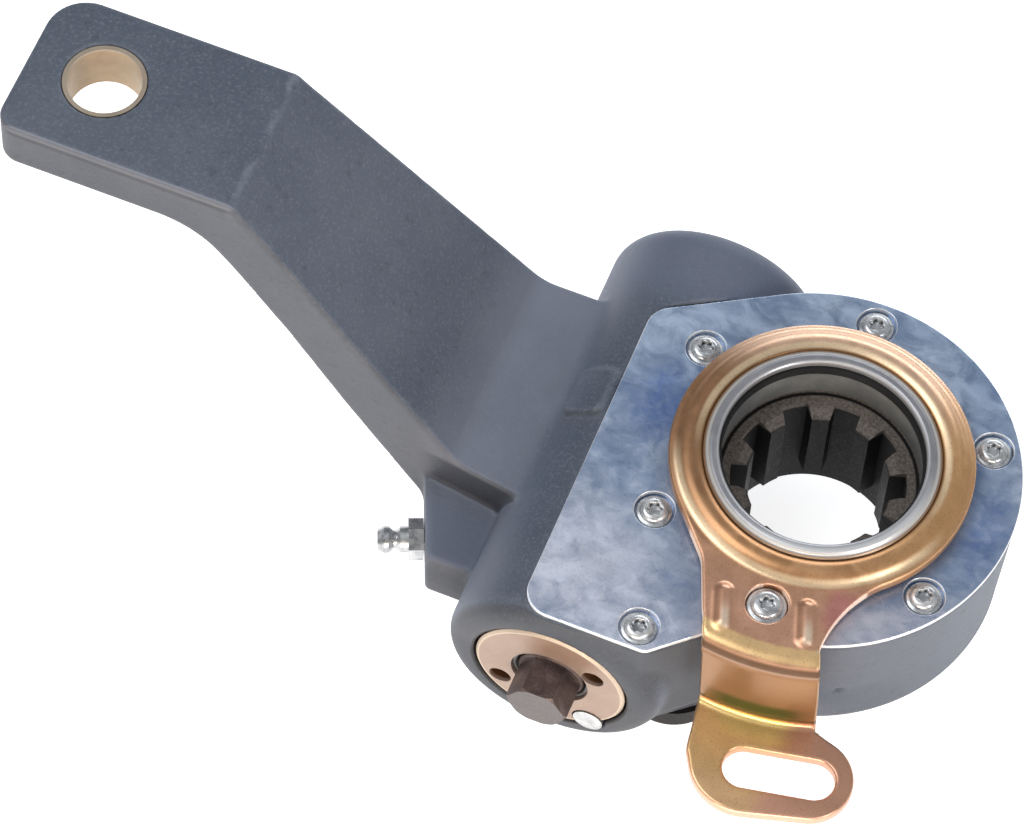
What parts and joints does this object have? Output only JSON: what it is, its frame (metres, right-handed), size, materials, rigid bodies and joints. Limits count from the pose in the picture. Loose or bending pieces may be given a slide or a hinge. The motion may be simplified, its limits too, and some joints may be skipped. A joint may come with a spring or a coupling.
{
  "type": "brake slack adjuster",
  "caption": "Automatic brake slack adjuster: cranked cast lever with bushed eye, worm-driven splined wheel under a plated cover, hex adjusting end and slotted control arm.",
  "frame": {"origin": "on the axis of the splined bore, in the plane of the worm axis", "axes": "+Z along the bore axis towards the cover plate, -X along the lever, -Y along the worm axis towards its hex end"},
  "size_m": [0.2255, 0.122, 0.0985],
  "materials": {
    "cast_paint": "satin dark blue-grey paint over a fine cast texture",
    "bush_brass": "turned, dull",
    "cover_zinc": "cloudy blue zinc plating",
    "gasket": "fibre",
    "bright_zinc": "bright zinc plating",
    "dark_steel": "oiled dark steel",
    "rubber": "matte black",
    "cap_bronze": "pale bronze, turned",
    "bearing_steel": "ground",
    "spring_steel": "oiled",
    "yellow_zinc": "yellow chromate with pink and green tints"
  },
  "bodies": {
    "casing": {"housing": "cast_paint", "lever_bush": "bush_brass", "cover_plate": "cover_zinc", "cover_gasket": "gasket", "cover_screws": "bright_zinc", "bearing_cap": "cap_bronze", "cap_lock_plug": "bright_zinc", "cap_o_ring": "rubber", "shaft_seal": "rubber", "thrust_washer_fixed": "bearing_steel", "thrust_balls": "bearing_steel", "main_spring": "spring_steel", "spring_seat": "bearing_steel", "control_shaft_plug": "rubber", "grease_nipple": "bright_zinc", "nipple_ball": "bearing_steel"},
    "worm": {"worm_screw": "dark_steel", "thrust_washer_turning": "bearing_steel", "wrap_spring": "spring_steel"},
    "wheel": {"worm_wheel": "dark_steel", "wheel_back_o_ring": "rubber"},
    "arm": {"control_arm": "yellow_zinc", "arm_screw": "bright_zinc", "control_ring": "bright_zinc", "front_seal": "rubber"},
    "control": {"control_shaft": "bearing_steel", "control_pinion": "bearing_steel"},
    "clutch": {"clutch_wheel": "bearing_steel"}
  },
  "joints": [
    {"name": "worm_turn", "type": "hinge", "parent": "casing", "child": "worm", "pos_m": [-0.0384, 0, 0], "axis": [0, 1, 0], "continuous": true},
    {"name": "wheel_turn", "type": "hinge", "parent": "casing", "child": "wheel", "pos_m": [0, 0, 0], "axis": [0, 0, 1], "continuous": true},
    {"name": "arm_swing", "type": "hinge", "parent": "casing", "child": "arm", "pos_m": [0, 0, 0], "axis": [0, 0, 1], "range_deg": [0, 60]},
    {"name": "control_shaft_turn", "type": "hinge", "parent": "casing", "child": "control", "pos_m": [-0.0165, -0.038, 0], "axis": [0, 0, 1], "range_deg": [-201, 1]},
    {"name": "clutch_turn", "type": "hinge", "parent": "casing", "child": "clutch", "pos_m": [-0.0384, 0, 0], "axis": [0, 1, 0], "range_deg": [-10.1, 0.1]}
  ],
  "couplings": [
    {"joint": "wheel_turn", "follows": "worm_turn", "ratio": 0.041667},
    {"joint": "control_shaft_turn", "follows": "arm_swing", "ratio": -3.3333},
    {"joint": "clutch_turn", "follows": "arm_swing", "ratio": -0.16667}
  ]
}
